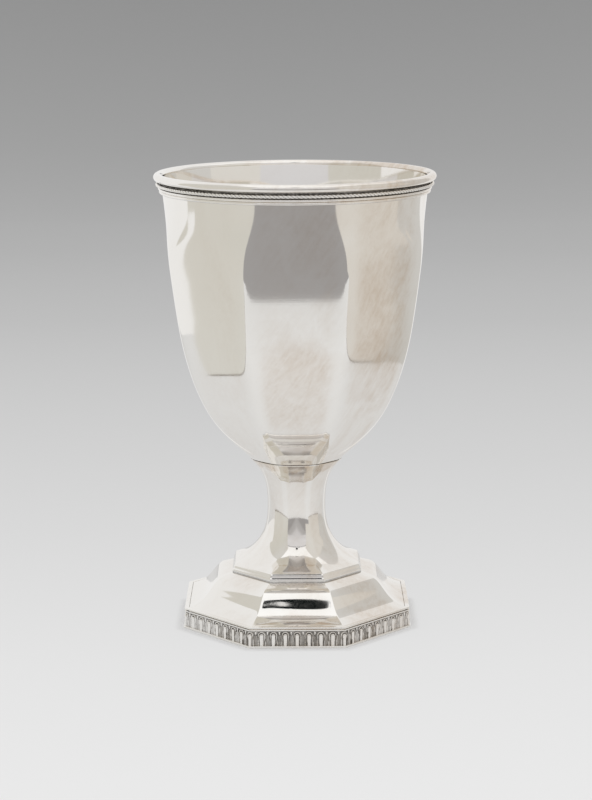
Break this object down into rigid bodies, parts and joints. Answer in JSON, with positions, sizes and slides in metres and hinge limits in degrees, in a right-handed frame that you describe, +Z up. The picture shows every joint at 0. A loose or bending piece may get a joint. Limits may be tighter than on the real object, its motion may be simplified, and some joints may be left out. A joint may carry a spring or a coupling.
{
  "type": "goblet",
  "caption": "Footed silver goblet: an egg-shaped octagonal cup on a waisted stem and a domed octagonal foot, with a rope wire under its lip and a frieze of tongues round its foot.",
  "frame": {"origin": "centre of the face that the foot stands on, at table height", "axes": "+Z up the axis of the goblet, -Y towards the viewer of the picture through the middle of one flat of the octagon, +X to that viewer's right"},
  "size_m": [0.0984, 0.0984, 0.16],
  "materials": {
    "polished_silver": "hand-polished silver with fine wiping scratches and a faint warm tarnish",
    "worn_silver": "rubbed silver, brighter on its raised edges and greyer in its grooves",
    "oxidised_silver": "silver with a dark oxide left in its recesses and rubbed relief"
  },
  "bodies": {
    "root": {"bowl": "polished_silver", "lip_wire": "polished_silver", "rope_wire": "worn_silver", "rim_moulding": "worn_silver", "stem": "polished_silver", "foot_dome": "polished_silver", "foot_ledge_wire": "worn_silver", "foot_frieze": "oxidised_silver", "foot_base_wire": "worn_silver"}
  },
  "joints": []
}
